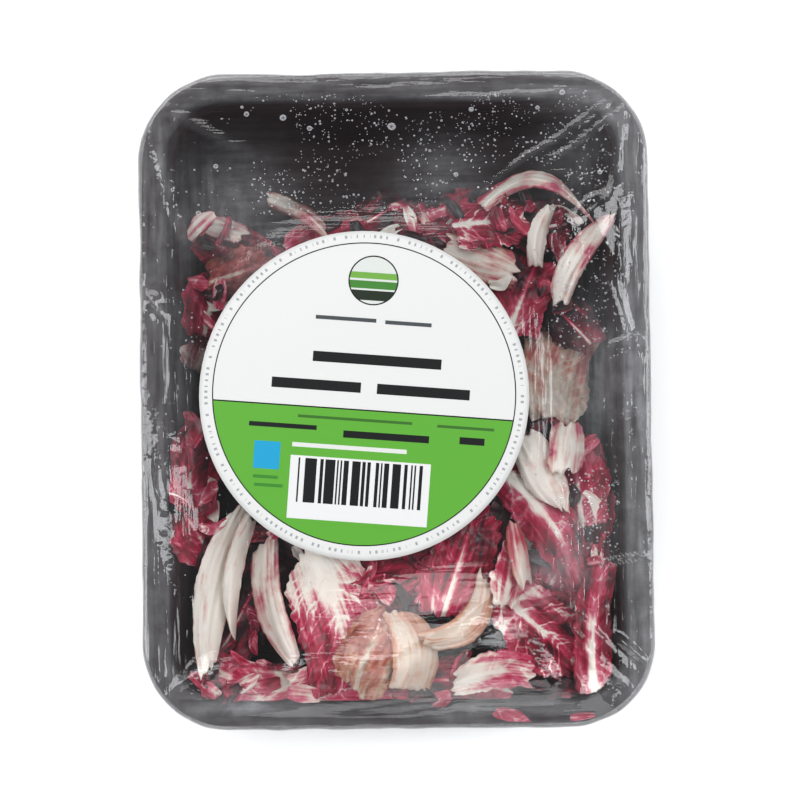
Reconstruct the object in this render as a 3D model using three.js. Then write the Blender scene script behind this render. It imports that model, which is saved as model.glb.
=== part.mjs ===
// A wrapped tray of cut radicchio: a black foam tray, the cut leaf pieces piled in it, the clear stretch
// film pulled over them and tucked under the base, and the round paper label that sticks to the film.
// Millimetres, +Z up. The origin is at the middle of the underside, with X across the tray and Y along it.
import * as THREE from "three";

// The whole pack, seen from above, with the film on
const PACK_WIDTH = 144;
const PACK_LENGTH = 185;
const CORNER_RADIUS = 24.5;
const GAP = 0.35; // between pieces that touch
const WALL_CLEARANCE = 0.6; // sideways, between the leaves and the tray's steep wall
const CORNER_STEPS = 6; // facets round each corner
const SIDE_STEPS = [4, 6]; // facets along the end and the long side

// Film: the real one is a few hundredths of a millimetre, drawn here as the thinnest solid that holds up
const FILM_THICKNESS = 0.6;
const FILM_TUCK = 42; // how far the film's edge reaches in under the base

// Tray of expanded foam, measured inwards from its own edge
const TRAY_EDGE = FILM_THICKNESS + GAP; // the film stands outside the tray by this much
const TRAY_FOOT_Z = FILM_THICKNESS + GAP;
const RIM_TOP_Z = 35.6;
const FLOOR_Z = 4.4;
const FOOT_INSET = 12.5; // the base is this much smaller than the rim, all round
const LEDGE_INSET = 8.4;
const LEDGE_Z = 31.6;

// Label
const LABEL_RADIUS = 46.2;
const LABEL_X = -8.9;
const LABEL_Y = 1.1;
const LABEL_THICKNESS = 0.6;
const LABEL_DOME = 0.0009; // drop per square millimetre of distance from the middle
const LABEL_SLOPE_Y = -0.012; // the pile is lower towards +Y, and the label leans with it

// Leaf pieces
const BLADE_THICKNESS = 0.75;
const SEED = 20160;

const COLOURS = {
  tray: 0x1b1b1e,
  film: 0xdfe3e6,
  label: 0xf4f4f2,
  rib: 0xe9e2d6,
  leaf: 0x8c1c3e,
  pale: 0xd3a58f,
};

// Seeded random numbers, so that every build is the same
function randomFrom(seed) {
  let state = seed >>> 0;
  return () => {
    state = (state + 0x6d2b79f5) >>> 0;
    let t = Math.imul(state ^ (state >>> 15), 1 | state);
    t = (t + Math.imul(t ^ (t >>> 7), 61 | t)) ^ t;
    return ((t ^ (t >>> 14)) >>> 0) / 4294967296;
  };
}

// Rounded rectangle

// How far a point lies inside the pack's outline
function insetAt(x, y) {
  const qx = Math.abs(x) - (PACK_WIDTH / 2 - CORNER_RADIUS);
  const qy = Math.abs(y) - (PACK_LENGTH / 2 - CORNER_RADIUS);
  const outside = Math.hypot(Math.max(qx, 0), Math.max(qy, 0));
  return CORNER_RADIUS - outside - Math.min(Math.max(qx, qy), 0);
}

// A closed loop of points, inset from the pack's outline, anticlockwise from above
function ring(inset, z) {
  const radius = Math.max(CORNER_RADIUS - inset, 4);
  const cx = PACK_WIDTH / 2 - inset - radius;
  const cy = PACK_LENGTH / 2 - inset - radius;
  const corners = [[cx, cy], [-cx, cy], [-cx, -cy], [cx, -cy]];
  const points = [];
  corners.forEach(([px, py], quarter) => {
    for (let i = 0; i <= CORNER_STEPS; i++) {
      const angle = (Math.PI / 2) * (quarter + i / CORNER_STEPS);
      points.push([px + radius * Math.cos(angle), py + radius * Math.sin(angle), z]);
    }
    // the long straight side between this corner and the next gets points of its own
    const [nx, ny] = corners[(quarter + 1) % 4];
    const turn = (Math.PI / 2) * (quarter + 1);
    const steps = SIDE_STEPS[quarter % 2];
    for (let i = 1; i < steps; i++) {
      const share = i / steps;
      const x = px + (nx - px) * share + radius * Math.cos(turn);
      const y = py + (ny - py) * share + radius * Math.sin(turn);
      points.push([x, y, z]);
    }
  });
  return points;
}

// A closed body from a chain of loops, with a pole before the first loop and one after the last. The squares
// of the first few loops can be cut along their other diagonal, so that a sheet's two faces are cut alike
function loft(firstPole, loops, lastPole, otherDiagonal = 0) {
  const count = loops[0].length;
  const points = [firstPole, ...loops.flat(), lastPole];
  const faces = [];
  const at = (loop, i) => 1 + loop * count + (i % count);
  for (let i = 0; i < count; i++) {
    faces.push(0, at(0, i + 1), at(0, i));
    for (let k = 0; k + 1 < loops.length; k++) {
      const shift = k < otherDiagonal ? 1 : 0;
      faces.push(at(k, i), at(k, i + 1), at(k + 1, i + 1 - shift));
      faces.push(at(k, i + shift), at(k + 1, i + 1), at(k + 1, i));
    }
    faces.push(points.length - 1, at(loops.length - 1, i), at(loops.length - 1, i + 1));
  }
  return geometryOf(points, faces);
}

function geometryOf(points, faces) {
  const geometry = new THREE.BufferGeometry();
  geometry.setAttribute("position", new THREE.Float32BufferAttribute(points.flat(), 3));
  geometry.setIndex(faces);
  geometry.computeVertexNormals();
  return geometry;
}

// Tray

// The inner side, from the rim down to the floor, as inset and height
const TRAY_INSIDE = [
  [2.4, RIM_TOP_Z],
  [6.2, RIM_TOP_Z - 0.1],
  [7.4, RIM_TOP_Z - 1.0],
  [7.8, LEDGE_Z + 0.3],
  [LEDGE_INSET, LEDGE_Z],
  [9.8, LEDGE_Z - 0.3],
  [10.6, LEDGE_Z - 1.6],
  [15.0, 8.2],
  [16.4, 5.6],
  [19.2, FLOOR_Z],
];

// The outer side, from the foot up to the rim
const TRAY_OUTSIDE = [
  [FOOT_INSET + 3.5, TRAY_FOOT_Z],
  [FOOT_INSET + 1.6, TRAY_FOOT_Z],
  [FOOT_INSET + 0.2, TRAY_FOOT_Z + 1.4],
  [6.4, 29.5],
  [5.2, 31.0],
  [TRAY_EDGE + 0.4, 31.8],
  [TRAY_EDGE, 32.8],
  [TRAY_EDGE + 0.1, 34.6],
  [TRAY_EDGE + 0.7, RIM_TOP_Z - 0.25],
];
const BASE_RECESS_Z = 2.0; // the middle of the base stands clear of the ground inside the foot

function makeTray() {
  const recess = ring(FOOT_INSET + 5.0, BASE_RECESS_Z);
  const loops = [recess, ...[...TRAY_OUTSIDE, ...TRAY_INSIDE].map(([inset, z]) => ring(inset, z))];
  return loft([0, 0, BASE_RECESS_Z], loops, [0, 0, FLOOR_Z]);
}

// The height of the tray's inner side at an inset
function trayHeightAt(inset) {
  if (inset <= TRAY_INSIDE[0][0]) return RIM_TOP_Z;
  for (let i = 0; i + 1 < TRAY_INSIDE.length; i++) {
    const [d0, z0] = TRAY_INSIDE[i];
    const [d1, z1] = TRAY_INSIDE[i + 1];
    if (inset <= d1) return z0 + ((z1 - z0) * (inset - d0)) / (d1 - d0);
  }
  return FLOOR_Z;
}

// The pile's upper surface, on a grid seen from above. Each leaf piece is lowered onto it
const CELL = 1;
const COLUMNS = Math.round(PACK_WIDTH / CELL);
const ROWS = Math.round(PACK_LENGTH / CELL);
const columnX = (i) => (i + 0.5) * CELL - PACK_WIDTH / 2;
const rowY = (j) => (j + 0.5) * CELL - PACK_LENGTH / 2;
const surface = new Float64Array(COLUMNS * ROWS);

function cellOf(x, y) {
  const i = Math.min(COLUMNS - 1, Math.max(0, Math.floor((x + PACK_WIDTH / 2) / CELL)));
  const j = Math.min(ROWS - 1, Math.max(0, Math.floor((y + PACK_LENGTH / 2) / CELL)));
  return [i, j];
}

function surfaceAt(x, y) {
  const [i, j] = cellOf(x, y);
  return surface[j * COLUMNS + i];
}

function raiseSurface(x, y, z) {
  const [i, j] = cellOf(x, y);
  for (let b = Math.max(0, j - 1); b <= Math.min(ROWS - 1, j + 1); b++) {
    for (let a = Math.max(0, i - 1); a <= Math.min(COLUMNS - 1, i + 1); a++) {
      surface[b * COLUMNS + a] = Math.max(surface[b * COLUMNS + a], z);
    }
  }
}

for (let j = 0; j < ROWS; j++) {
  for (let i = 0; i < COLUMNS; i++) {
    surface[j * COLUMNS + i] = trayHeightAt(insetAt(columnX(i), rowY(j)));
  }
}

// Leaf pieces. A piece is a curved sheet over a cut outline: s runs along it and t across it, from -1 to 1

// Corner shares of the points that are tested in each triangle
function barycentric(steps) {
  const shares = [];
  for (let a = 0; a <= steps; a++) {
    for (let b = 0; a + b <= steps; b++) shares.push([a / steps, b / steps, (steps - a - b) / steps]);
  }
  return shares;
}
const TESTED = barycentric(5);
const TESTED_FILM = barycentric(16);
const DRAWN = barycentric(8);

// Each kind of piece: its grid, along and across, the height of its rib and the rib's share of the half
// width, how far it cups across and arches along, its ruffles and their number, its twist and its tears
const KINDS = {
  large: {
    along: 6, across: 5, rib: 1.6, ribWidth: 0.25,
    cup: -7, arch: 4, ruffle: 1.6, waves: 2.2, twist: 2, ragged: 0.1,
  },
  leaf: {
    along: 6, across: 5, rib: 0.8, ribWidth: 0.25,
    cup: -1.9, arch: 1, ruffle: 1.1, waves: 2, twist: 0.7, ragged: 0.22,
  },
  mixed: {
    along: 7, across: 6, rib: 1.9, ribWidth: 0.4,
    cup: -1.4, arch: 1, ruffle: 0.8, waves: 1.6, twist: 0.5, ragged: 0.12,
  },
  rib: {
    along: 7, across: 4, rib: 2.2, ribWidth: 0.75,
    cup: -0.7, arch: 1, ruffle: 0.2, waves: 1.2, twist: 0.3, ragged: 0.08,
  },
  curl: {
    along: 7, across: 5, rib: 0.8, ribWidth: 0.4,
    cup: -2.4, arch: 1.4, ruffle: 1.5, waves: 3.1, twist: 0.8, ragged: 0.18,
  },
};

// Large cut leaves at the bottom of the pile. Each row gives the kind, the place in x and y, the turn in
// degrees, the length and width, the shares of the width left at the base and the tip, and how far the piece
// bends sideways as a share of its length
const LOWER_PIECES = [
  ["large", -26, -47, 20, 56, 48, 0.7, 0.6, 0.04],
  ["large", 27, -46, 100, 54, 48, 0.6, 0.7, -0.03],
  ["large", -26, 8, 95, 56, 48, 0.6, 0.6, 0.02],
  ["large", 27, 10, 75, 54, 46, 0.7, 0.7, -0.04],
  ["large", 0, 36, 10, 60, 40, 0.7, 0.6, 0.0],
  ["large", 0, -57, 5, 58, 40, 0.7, 0.6, 0.03],
  ["large", -25, -26, 140, 56, 46, 0.6, 0.7, -0.02],
  ["large", 26, -25, 50, 56, 44, 0.7, 0.6, 0.03],
  ["large", 6, 10, 160, 56, 46, 0.6, 0.6, -0.03],
  ["large", 0, -40, 20, 56, 46, 0.7, 0.7, 0.02],
];

// The pieces that show from above, in the order they lie
const UPPER_PIECES = [
  ["leaf", -57, -19, 80, 24, 15, 0.8, 0.7, 0.05],
  ["leaf", -55, -40, 120, 20, 14, 0.7, 0.5, 0.0],
  ["leaf", -55, 16, 70, 15, 10, 0.7, 0.6, 0.0],
  ["leaf", -45, -60, 62, 32, 19, 0.8, 0.4, 0.0],
  ["leaf", -42, -78, 170, 30, 13, 0.7, 0.5, 0.04],
  ["leaf", -14, -80, 4, 32, 14, 0.8, 0.6, 0.03],
  ["leaf", 15, -80, 176, 34, 14, 0.7, 0.6, -0.03],
  ["leaf", 43, -74, 165, 28, 18, 0.8, 0.6, 0.0],
  ["leaf", 53, -40, 85, 30, 16, 0.8, 0.8, 0.03],
  ["leaf", 43, -54, 60, 30, 24, 0.8, 0.7, 0.0],
  ["leaf", 51, -25, 95, 26, 18, 0.8, 0.7, 0.0],
  ["curl", 47, 8, 75, 30, 22, 0.7, 0.8, 0.05],
  ["leaf", 50, 22, 130, 20, 13, 0.7, 0.7, 0.0],
  ["leaf", 37, 30, 68, 24, 17, 0.8, 0.7, 0.0],
  ["leaf", 39, 52, 175, 26, 17, 0.7, 0.7, 0.05],
  ["leaf", 22, 55, 30, 22, 12, 0.7, 0.7, 0.06],
  ["leaf", -45, 43, 150, 26, 19, 0.8, 0.7, 0.0],
  ["leaf", -53, 29, 80, 20, 15, 0.7, 0.7, 0.0],
  ["leaf", -4, 54, 30, 18, 13, 0.7, 0.7, 0.0],
  ["leaf", 8, 48, 120, 20, 15, 0.8, 0.6, 0.0],
  ["leaf", -20, 46, 20, 24, 15, 0.7, 0.7, 0.0],
  ["leaf", 2, -52, 8, 32, 20, 0.8, 0.7, 0.0],
  ["leaf", 17, -47, 72, 30, 20, 0.7, 0.8, 0.0],
  ["mixed", -18, -60, -72, 38, 27, 0.6, 0.9, 0.03],
  ["mixed", 42, -36, -56, 38, 15, 0.8, 0.6, 0.04],
  ["leaf", 40, -65, -42, 28, 20, 0.8, 0.8, 0.0],
  ["mixed", 26, -77, 8, 22, 11, 0.6, 0.9, 0.05],
  ["mixed", 55, -65, 86, 36, 11, 0.9, 0.8, 0.02],
  ["curl", -7.6, -71, 60, 22, 18, 0.8, 0.8, 0.04],
  ["rib", 3, -70, 97, 22, 13, 0.9, 0.8, -0.08],
  ["rib", 18, -61, 44, 25, 8.5, 0.8, 0.9, -0.13],
  ["leaf", 31, -50, 80, 18, 10, 0.7, 0.6, 0.0],
  ["rib", 34, -44, 100, 18, 6, 0.7, 0.6, 0.0],
  ["rib", 41, -21, -63, 24, 12, 0.95, 0.2, 0.0],
  ["rib", 48, -14, 82, 14, 11, 0.9, 0.7, 0.0],
  ["curl", 25, 40, -20, 21, 13, 0.7, 0.7, 0.0],
  ["leaf", 28, 51, 6, 22, 15, 0.8, 0.8, 0.0],
  ["rib", 53, 40, 59, 28, 8, 0.8, 0.4, 0.04],
  ["rib", 42, 58, -12, 32, 5.5, 0.6, 0.9, 0.2],
  ["rib", 42, 47, 76, 18, 6, 0.7, 0.6, 0.05],
  ["curl", -44, 38, 20, 20, 15, 0.7, 0.7, 0.0],
  ["rib", -50, 51, -18, 14, 7, 0.6, 0.9, 0.0],
  ["rib", -28, 55, -33, 21, 5.5, 0.7, 0.8, 0.03],
  ["leaf", -61, -28, -32, 13, 6, 0.7, 0.4, 0.1],
  ["rib", -35, -57, 104, 35, 9.5, 0.35, 0.9, 0.05],
  ["rib", -50.5, -52, 78, 48, 10.5, 0.35, 0.6, 0.04],
  ["rib", -45.5, -49, 80, 34, 5.5, 0.4, 0.6, 0.04],
];

function vertexGrid(row, random) {
  const [kind, cx, cy, turn, long, wide, baseShare, tipShare, arc] = row;
  const k = KINDS[kind];
  const minInset = kind === "large" ? 19.5 : 8.2;
  const angle = (turn * Math.PI) / 180;
  const phase = random() * Math.PI * 2;
  const vary = () => 0.75 + 0.5 * random();
  const cup = k.cup * vary();
  const arch = k.arch * vary();
  const ruffle = k.ruffle * vary();
  const twist = k.twist * (random() - 0.5) * 2;
  const cutSkew = (random() - 0.5) * 0.3;
  const tears = Math.max(k.along, k.across) + 1;
  const torn = () => Array.from({ length: tears }, () => (random() - 0.5) * 2 * k.ragged);
  const tornSides = [torn(), torn()];
  const tornEnds = [torn(), torn()];
  const points = [];
  for (let a = 0; a <= k.along; a++) {
    for (let b = 0; b <= k.across; b++) {
      const s = (2 * a) / k.along - 1;
      const t = (2 * b) / k.across - 1;
      const endShare = baseShare + ((tipShare - baseShare) * (s + 1)) / 2;
      const width = wide * (endShare + (1 - endShare) * (1 - s * s));
      const side = 1 + tornSides[t > 0 ? 1 : 0][a] * Math.abs(t) ** 3;
      const end = (tornEnds[s > 0 ? 1 : 0][b] * Math.abs(s) ** 3 * wide) / long;
      const along = (s + end + cutSkew * t * Math.abs(s)) * (long / 2);
      const across = (side * t * width) / 2 + arc * long * (1 - 2 * s * s);
      let x = cx + along * Math.cos(angle) - across * Math.sin(angle);
      let y = cy + along * Math.sin(angle) + across * Math.cos(angle);
      while (insetAt(x, y) < minInset) {
        x *= 0.997;
        y *= 0.997;
      }
      const wave = Math.sin(k.waves * Math.PI * s + phase + (t > 0 ? 1.3 : 0)) * t * t;
      const own = cup * t * t + arch * (1 - s * s) + ruffle * wave + twist * s * t;
      const hump = Math.exp(-((t / k.ribWidth) ** 2)) * (0.75 + 0.25 * (1 - s));
      points.push({ x, y, own, lift: 0, thick: BLADE_THICKNESS + k.rib * hump });
    }
  }
  return { points, along: k.along, across: k.across };
}

// The two triangles of each square, cut the same way on both faces
function gridTriangles(along, across) {
  const triangles = [];
  const at = (a, b) => a * (across + 1) + b;
  for (let a = 0; a < along; a++) {
    for (let b = 0; b < across; b++) {
      triangles.push([at(a, b), at(a + 1, b), at(a + 1, b + 1)]);
      triangles.push([at(a, b), at(a + 1, b + 1), at(a, b + 1)]);
    }
  }
  return triangles;
}

// How much each tested point of the sheet would have to rise to clear the pile
function eachNeed(points, triangles, tested, visit) {
  for (const triangle of triangles) {
    const [p, q, r] = triangle.map((i) => points[i]);
    for (const [u, v, w] of tested) {
      const x = u * p.x + v * q.x + w * r.x;
      const y = u * p.y + v * q.y + w * r.y;
      const z = u * (p.own + p.lift) + v * (q.own + q.lift) + w * (r.own + r.lift);
      const under = Math.max(surfaceAt(x, y), trayHeightAt(insetAt(x, y) - WALL_CLEARANCE));
      visit(under + GAP - z, [p, q, r], [u, v, w]);
    }
  }
}

// Lowers a sheet onto the pile. It bends to lie on what is under it, as far as softness lets it
function layDown(points, triangles, along, across, softness) {
  const needs = [];
  eachNeed(points, triangles, TESTED, (need) => needs.push(need));
  needs.sort((a, b) => a - b);
  const start = needs[Math.floor((needs.length - 1) * (1 - softness))];
  for (const p of points) p.lift = start;
  const clearPile = () => {
    let worst = 0;
    eachNeed(points, triangles, TESTED, (need, corners, shares) => {
      if (need <= 0) return;
      worst = Math.max(worst, need);
      const size = shares.reduce((sum, share) => sum + share * share, 0);
      corners.forEach((corner, i) => (corner.lift += (need * shares[i]) / size));
    });
    return worst;
  };
  const at = (a, b) => points[a * (across + 1) + b];
  for (let pass = 0; pass < 8; pass++) {
    clearPile();
    const smooth = points.map((p, i) => {
      const a = Math.floor(i / (across + 1));
      const b = i % (across + 1);
      const near = [];
      if (a > 0) near.push(at(a - 1, b));
      if (a < along) near.push(at(a + 1, b));
      if (b > 0) near.push(at(a, b - 1));
      if (b < across) near.push(at(a, b + 1));
      return near.reduce((sum, n) => sum + n.lift, 0) / near.length;
    });
    points.forEach((p, i) => (p.lift = 0.5 * p.lift + 0.5 * smooth[i]));
  }
  for (let pass = 0; pass < 60 && clearPile() > 0.002; pass++);
}

// The sheet as a closed solid, and its upper face drawn into the pile's surface
function leafGeometry(row, random) {
  const { points, along, across } = vertexGrid(row, random);
  const triangles = gridTriangles(along, across);
  layDown(points, triangles, along, across, row[0] === "large" ? 0.12 : 0.4);
  const low = points.map((p) => [p.x, p.y, p.own + p.lift]);
  const at = (a, b) => a * (across + 1) + b;
  const slopeAt = (i) => {
    const a = Math.floor(i / (across + 1));
    const b = i % (across + 1);
    const [p0, p1] = [low[at(Math.max(a - 1, 0), b)], low[at(Math.min(a + 1, along), b)]];
    const [q0, q1] = [low[at(a, Math.max(b - 1, 0))], low[at(a, Math.min(b + 1, across))]];
    const fall = (m, n) => (n[2] - m[2]) / Math.max(Math.hypot(n[0] - m[0], n[1] - m[1]), 0.5);
    return Math.min(Math.hypot(1, fall(p0, p1), fall(q0, q1)), 2.2);
  };
  const high = points.map((p, i) => [p.x, p.y, low[i][2] + p.thick * slopeAt(i)]);
  for (const triangle of triangles) {
    const [p, q, r] = triangle.map((i) => high[i]);
    for (const [u, v, w] of DRAWN) {
      const mixed = [0, 1, 2].map((c) => u * p[c] + v * q[c] + w * r[c]);
      raiseSurface(...mixed);
    }
  }
  const count = points.length;
  const faces = [];
  for (const [p, q, r] of triangles) {
    faces.push(p + count, q + count, r + count);
    faces.push(p, r, q);
  }
  const edge = [];
  for (let a = 0; a < along; a++) edge.push(at(a, 0));
  for (let b = 0; b < across; b++) edge.push(at(along, b));
  for (let a = along; a > 0; a--) edge.push(at(a, across));
  for (let b = across; b > 0; b--) edge.push(at(0, b));
  edge.forEach((p, i) => {
    const q = edge[(i + 1) % edge.length];
    faces.push(p, q, q + count, p, q + count, p + count);
  });
  return geometryOf([...low, ...high], faces);
}

// Label: its underside is a shallow dome over the pile
let labelBase = 0;
const labelDrop = (x, y) =>
  LABEL_DOME * ((x - LABEL_X) ** 2 + (y - LABEL_Y) ** 2) - LABEL_SLOPE_Y * (y - LABEL_Y);
const labelUnderside = (x, y) => labelBase - labelDrop(x, y);
const labelDistance = (x, y) => Math.hypot(x - LABEL_X, y - LABEL_Y);
const FILM_UNDER_LABEL = FILM_THICKNESS + GAP; // from the label's underside to the film's
const LABEL_MARGIN = 6; // the film follows the label's dome this far past its edge

function placeLabel() {
  for (let j = 0; j < ROWS; j++) {
    for (let i = 0; i < COLUMNS; i++) {
      const [x, y] = [columnX(i), rowY(j)];
      if (labelDistance(x, y) > LABEL_RADIUS + LABEL_MARGIN) continue;
      const wanted = surface[j * COLUMNS + i] + GAP + FILM_UNDER_LABEL + labelDrop(x, y);
      labelBase = Math.max(labelBase, wanted);
    }
  }
}

function makeLabel() {
  const segments = 44;
  const circle = (radius, rise) =>
    Array.from({ length: segments }, (_, i) => {
      const angle = (i / segments) * Math.PI * 2;
      const x = LABEL_X + radius * Math.cos(angle);
      const y = LABEL_Y + radius * Math.sin(angle);
      return [x, y, labelUnderside(x, y) + rise];
    });
  const radii = [0.55, 1].map((share) => share * LABEL_RADIUS);
  const under = radii.map((r) => circle(r, 0));
  const over = radii.map((r) => circle(r, LABEL_THICKNESS)).reverse();
  const middle = labelUnderside(LABEL_X, LABEL_Y);
  return loft([LABEL_X, LABEL_Y, middle], [...under, ...over], [LABEL_X, LABEL_Y, middle + LABEL_THICKNESS]);
}

// Film: a taut skin over the rim, the pile and the label, down the sides and in under the base

// The film's underside over the tray, as a skin stretched from the rim over whatever stands up under it
function stretchFilm() {
  const skin = new Float64Array(COLUMNS * ROWS);
  const held = new Uint8Array(COLUMNS * ROWS);
  for (let j = 0; j < ROWS; j++) {
    for (let i = 0; i < COLUMNS; i++) {
      const [x, y] = [columnX(i), rowY(j)];
      const at = j * COLUMNS + i;
      skin[at] = Math.max(surface[at], RIM_TOP_Z) + GAP;
      if (insetAt(x, y) < 6) held[at] = 1;
      if (labelDistance(x, y) < LABEL_RADIUS + LABEL_MARGIN) {
        skin[at] = labelUnderside(x, y) - FILM_UNDER_LABEL;
        held[at] = 1;
      }
    }
  }
  const floorOf = Float64Array.from(surface, (z) => z + GAP);
  for (let pass = 0; pass < 900; pass++) {
    for (let j = 1; j + 1 < ROWS; j++) {
      for (let i = 1; i + 1 < COLUMNS; i++) {
        const at = j * COLUMNS + i;
        if (held[at]) continue;
        const mean = (skin[at - 1] + skin[at + 1] + skin[at - COLUMNS] + skin[at + COLUMNS]) / 4;
        skin[at] = Math.max(floorOf[at], mean);
      }
    }
  }
  return skin;
}

// The film over the side of the tray: inset and height of its outer and its inner face
const FILM_SIDE = [
  { outer: [FILM_TUCK, 0], inner: [FILM_TUCK, FILM_THICKNESS] },
  { outer: [28, 0], inner: [28, FILM_THICKNESS] },
  { outer: [FOOT_INSET + 1.2, 0], inner: [FOOT_INSET + 1.4, FILM_THICKNESS] },
  { outer: [FOOT_INSET - 0.9, 1.2], inner: [FOOT_INSET - 0.25, 1.5] },
  { outer: [6.2, 16.5], inner: [6.85, 16.7] },
  { outer: [0.35, 31.3], inner: [0.98, 31.45] },
  { outer: [0, 32.6], inner: [FILM_THICKNESS, 32.75] },
  { outer: [0, 34.8], inner: [FILM_THICKNESS, 34.75] },
  { outer: [0.5, RIM_TOP_Z + 0.55], inner: [0.95, RIM_TOP_Z + 0.1] },
  { outer: [1.6, RIM_TOP_Z + GAP + FILM_THICKNESS], inner: [1.8, RIM_TOP_Z + GAP] },
];
const FILM_TOP_SHARES = [0.955, 0.915, 0.85, 0.77, 0.68, 0.58, 0.47, 0.35, 0.23, 0.12];

function makeFilm() {
  const skin = stretchFilm();
  const skinAt = (x, y) => {
    const [i, j] = cellOf(x, y);
    return skin[j * COLUMNS + i];
  };
  const outline = ring(0, 0);
  const topLoop = (share) =>
    outline.map(([x, y]) => ({ x: x * share, y: y * share, own: skinAt(x * share, y * share), lift: 0 }));
  const top = FILM_TOP_SHARES.map(topLoop);
  const middle = { x: 0, y: 0, own: skinAt(0, 0), lift: 0 };

  // the facets are longer than the pile's bumps, so they are raised until they clear them
  const count = outline.length;
  const flat = [...top.flat(), middle];
  const triangles = [];
  for (let k = 0; k + 1 < top.length; k++) {
    for (let i = 0; i < count; i++) {
      const [p, q] = [k * count + i, k * count + ((i + 1) % count)];
      triangles.push([p, q, q + count], [p, q + count, p + count]);
    }
  }
  const lastLoop = (top.length - 1) * count;
  for (let i = 0; i < count; i++) {
    triangles.push([lastLoop + i, lastLoop + ((i + 1) % count), flat.length - 1]);
  }
  for (let pass = 0; pass < 60; pass++) {
    let worst = 0;
    eachNeed(flat, triangles, TESTED_FILM, (need, corners, shares) => {
      if (need <= 0) return;
      worst = Math.max(worst, need);
      const size = shares.reduce((sum, share) => sum + share * share, 0);
      corners.forEach((corner, i) => (corner.lift += (need * shares[i]) / size));
    });
    if (worst < 0.002) break;
  }
  for (const triangle of triangles) {
    const corners = triangle.map((i) => flat[i]);
    for (const shares of TESTED_FILM) {
      const mixed = (key) => corners.reduce((sum, corner, i) => sum + shares[i] * corner[key], 0);
      const [x, y, z] = [mixed("x"), mixed("y"), mixed("own") + mixed("lift")];
      if (labelDistance(x, y) > LABEL_RADIUS + 1) continue;
      labelBase = Math.max(labelBase, z + FILM_UNDER_LABEL + labelDrop(x, y));
    }
  }
  const inner = top.map((loop) => loop.map((p) => [p.x, p.y, p.own + p.lift]));
  const outer = inner.map((loop) => loop.map(([x, y, z]) => [x, y, z + FILM_THICKNESS]));
  const innerSide = FILM_SIDE.map((step) => ring(...step.inner));
  const outerSide = FILM_SIDE.map((step) => ring(...step.outer));
  const height = middle.own + middle.lift;
  const loops = [...inner.reverse(), ...innerSide.reverse(), ...outerSide, ...outer];
  return loft([0, 0, height], loops, [0, 0, height + FILM_THICKNESS], top.length - 1);
}

// Assembly

const radicchioTray = new THREE.Group();

function addPiece(name, geometry, colour, roughness) {
  const material = new THREE.MeshStandardMaterial({ color: colour, roughness, metalness: 0 });
  const mesh = new THREE.Mesh(geometry, material);
  mesh.name = name;
  radicchioTray.add(mesh);
  return mesh;
}

addPiece("tray", makeTray(), COLOURS.tray, 0.55);

const pieceNames = {
  large: "large_leaf",
  leaf: "cut_leaf",
  mixed: "leaf_with_rib",
  rib: "cut_rib",
  curl: "curled_leaf",
};
const pieceColours = {
  large: COLOURS.leaf,
  leaf: COLOURS.leaf,
  mixed: COLOURS.leaf,
  rib: COLOURS.rib,
  curl: COLOURS.pale,
};
const random = randomFrom(SEED);
const made = {};
for (const row of [...LOWER_PIECES, ...UPPER_PIECES]) {
  const kind = row[0];
  made[kind] = (made[kind] ?? 0) + 1;
  const name = `${pieceNames[kind]}_${String(made[kind]).padStart(2, "0")}`;
  addPiece(name, leafGeometry(row, random), pieceColours[kind], 0.5);
}

placeLabel();
const film = addPiece("film", makeFilm(), COLOURS.film, 0.1);
film.material.transparent = true;
film.material.opacity = 0.25;
addPiece("label", makeLabel(), COLOURS.label, 0.6);

export default radicchioTray;
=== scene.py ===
import math
import random
import bmesh
import bpy
from mathutils import Euler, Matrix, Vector, noise
from mathutils.bvhtree import BVHTree


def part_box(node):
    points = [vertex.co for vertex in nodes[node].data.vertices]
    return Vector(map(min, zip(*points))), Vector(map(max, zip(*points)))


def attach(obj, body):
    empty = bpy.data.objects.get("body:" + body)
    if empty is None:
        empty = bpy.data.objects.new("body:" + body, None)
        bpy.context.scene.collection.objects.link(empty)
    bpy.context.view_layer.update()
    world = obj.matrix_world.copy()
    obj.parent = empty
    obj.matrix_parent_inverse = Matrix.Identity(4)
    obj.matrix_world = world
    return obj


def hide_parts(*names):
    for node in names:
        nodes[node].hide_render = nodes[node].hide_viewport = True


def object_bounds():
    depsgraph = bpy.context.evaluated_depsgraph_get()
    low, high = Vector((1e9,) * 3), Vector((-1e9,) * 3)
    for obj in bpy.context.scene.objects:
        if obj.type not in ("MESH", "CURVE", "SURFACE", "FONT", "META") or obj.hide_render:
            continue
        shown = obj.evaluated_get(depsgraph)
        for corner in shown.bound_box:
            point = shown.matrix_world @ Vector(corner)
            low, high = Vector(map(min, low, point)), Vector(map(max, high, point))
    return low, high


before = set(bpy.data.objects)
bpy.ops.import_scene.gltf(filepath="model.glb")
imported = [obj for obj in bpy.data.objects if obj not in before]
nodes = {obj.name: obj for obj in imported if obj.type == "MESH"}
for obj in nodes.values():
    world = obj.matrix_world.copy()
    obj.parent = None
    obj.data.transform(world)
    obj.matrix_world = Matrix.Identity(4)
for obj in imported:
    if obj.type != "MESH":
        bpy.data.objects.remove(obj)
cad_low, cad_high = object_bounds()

MM = 0.001
MERGE_DISTANCE = 0.01 * MM

# The pack, as the frame has it
PACK_WIDTH = cad_high.x - cad_low.x
PACK_LENGTH = cad_high.y - cad_low.y
CORNER_RADIUS = 24.5 * MM
RIM_TOP = 35.6 * MM
label_low, label_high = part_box("label")
LABEL_RADIUS = (label_high.x - label_low.x) / 2
LABEL_X = (label_low.x + label_high.x) / 2
LABEL_Y = (label_low.y + label_high.y) / 2

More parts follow.
